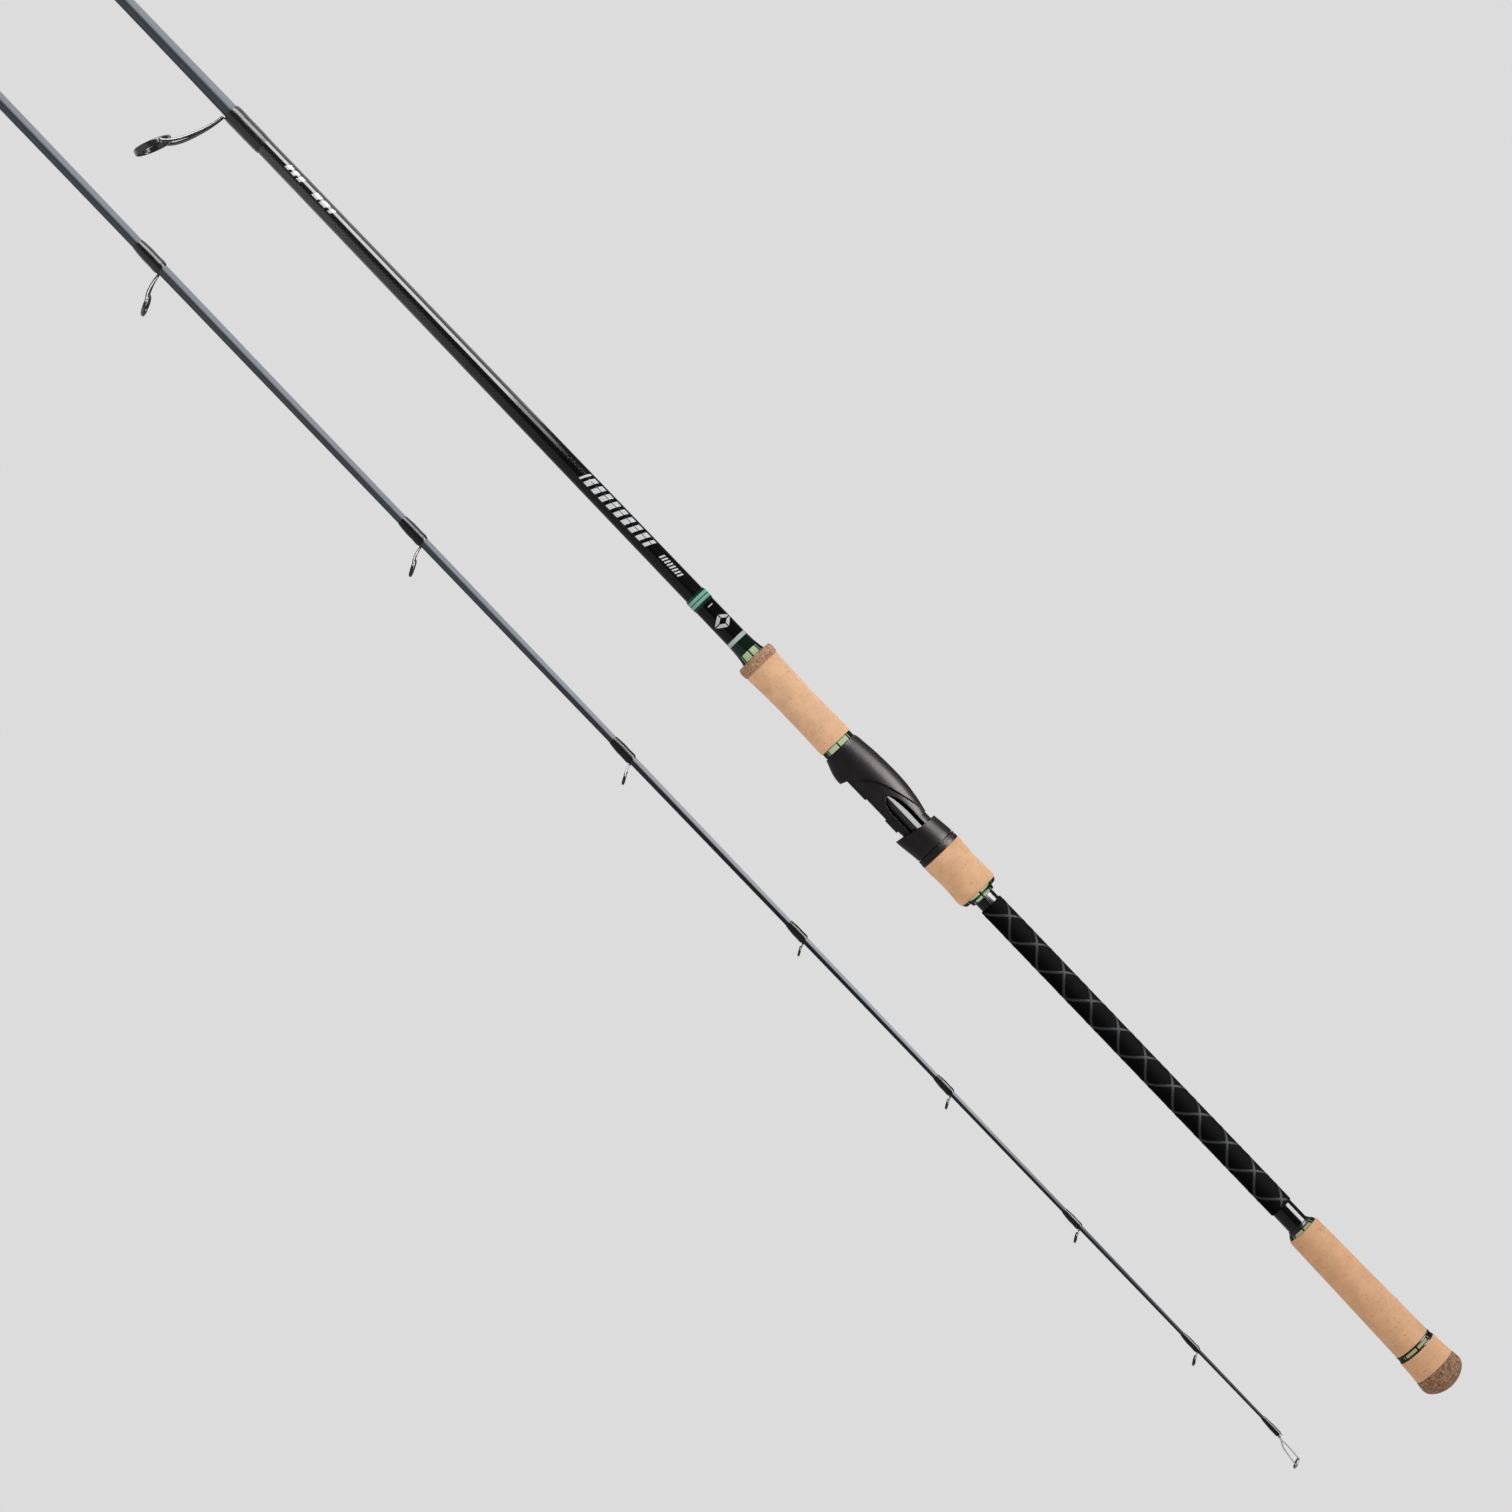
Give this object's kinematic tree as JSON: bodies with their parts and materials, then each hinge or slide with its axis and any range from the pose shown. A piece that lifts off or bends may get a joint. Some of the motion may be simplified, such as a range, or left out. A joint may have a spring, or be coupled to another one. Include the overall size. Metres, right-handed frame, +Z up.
{
  "type": "spinning rod",
  "caption": "Two-piece spinning rod, broken down: cork grips, sliding-hood reel seat turned by a cork lock nut, tapered hollow blanks with graded line guides and a put-over ferrule.",
  "frame": {"origin": "centre of the butt cap's flat end face, on the butt section's axis", "axes": "-X runs up the butt section to its ferrule; +X points out of the butt cap; -Z is the reel and guide side; the tip section lies parallel below, its tip-top towards +X; +Z up"},
  "size_m": [1.358, 0.0298, 0.1496],
  "materials": {
    "blank_satin": "satin unsanded grey carbon",
    "blank_gloss": "clear-coated black woven carbon",
    "burl_cork": "speckled composite cork, matt",
    "natural_cork": "natural cork, matt, fine pits",
    "black_trim": "black anodised, semi-gloss",
    "green_trim": "light green metallic anodised",
    "grip_sleeve": "matt black sleeve with crossed raised lines",
    "seat_black": "satin black moulding with a warm sheen",
    "arbor_foam": "dark rigid foam, matt",
    "hood_cushion": "soft dark liner, matt",
    "green_wrap": "dark green thread under epoxy",
    "silver_trim": "silver-white thread under epoxy",
    "black_wrap": "black thread under epoxy",
    "teal_wrap": "dark green thread with a teal metallic band",
    "guide_metal": "dark polished steel",
    "guide_ceramic": "polished dark ceramic"
  },
  "bodies": {
    "butt_section": {"butt_blank": "blank_satin", "gloss_overwrap": "blank_gloss", "butt_cap": "burl_cork", "butt_cork_ring": "natural_cork", "butt_trim_washers": "black_trim", "butt_trim_band": "green_trim", "butt_grip": "natural_cork", "butt_grip_check": "green_trim", "butt_check_collar": "black_trim", "rear_grip_sleeve": "grip_sleeve", "rear_check": "green_trim", "reel_seat_body": "seat_black", "seat_front_check": "green_trim", "seat_arbor_front": "arbor_foam", "seat_arbor_rear": "arbor_foam", "fixed_hood_cushion": "hood_cushion", "fore_grip": "natural_cork", "fore_grip_ring": "burl_cork", "front_winding_check": "green_trim", "front_green_wrap": "green_wrap", "silver_trim_band": "silver_trim", "label_wrap": "black_wrap", "teal_trim_wrap": "teal_wrap", "stripper_frame": "guide_metal", "stripper_ring": "guide_ceramic", "stripper_wrap": "black_wrap"},
    "moving_hood": {"moving_hood": "seat_black", "hood_liner": "hood_cushion"},
    "lock_nut": {"lock_nut": "seat_black", "lock_nut_cork": "natural_cork", "lock_nut_end_ring": "green_trim"},
    "tip_section": {"tip_blank": "blank_satin", "tip_ferrule_wrap": "black_wrap", "tip_top_frame": "guide_metal", "tip_top_ring": "guide_ceramic", "tip_top_wrap": "black_wrap", "guide_2_frame": "guide_metal", "guide_2_ring": "guide_ceramic", "guide_2_wrap": "black_wrap", "guide_3_frame": "guide_metal", "guide_3_ring": "guide_ceramic", "guide_3_wrap": "black_wrap", "guide_4_frame": "guide_metal", "guide_4_ring": "guide_ceramic", "guide_4_wrap": "black_wrap", "guide_5_frame": "guide_metal", "guide_5_ring": "guide_ceramic", "guide_5_wrap": "black_wrap", "guide_6_frame": "guide_metal", "guide_6_ring": "guide_ceramic", "guide_6_wrap": "black_wrap", "guide_7_frame": "guide_metal", "guide_7_ring": "guide_ceramic", "guide_7_wrap": "black_wrap", "guide_8_frame": "guide_metal", "guide_8_ring": "guide_ceramic", "guide_8_wrap": "black_wrap", "guide_9_frame": "guide_metal", "guide_9_ring": "guide_ceramic", "guide_9_wrap": "black_wrap"}
  },
  "joints": [
    {"name": "hood_slide", "type": "slide", "parent": "butt_section", "child": "moving_hood", "axis": [-1, 0, 0], "range_m": [0, 0.008]},
    {"name": "nut_turn", "type": "hinge", "parent": "moving_hood", "child": "lock_nut", "pos_m": [-0.43, 0, 0], "axis": [-1, 0, 0], "range_deg": [0, 1440]},
    {"name": "tip_section_draw", "type": "slide", "parent": "butt_section", "child": "tip_section", "axis": [1, 0, 0], "range_m": [0, 0.075]}
  ],
  "couplings": [
    {"joint": "nut_turn", "follows": "hood_slide", "rad_per_m": 3141.6}
  ]
}
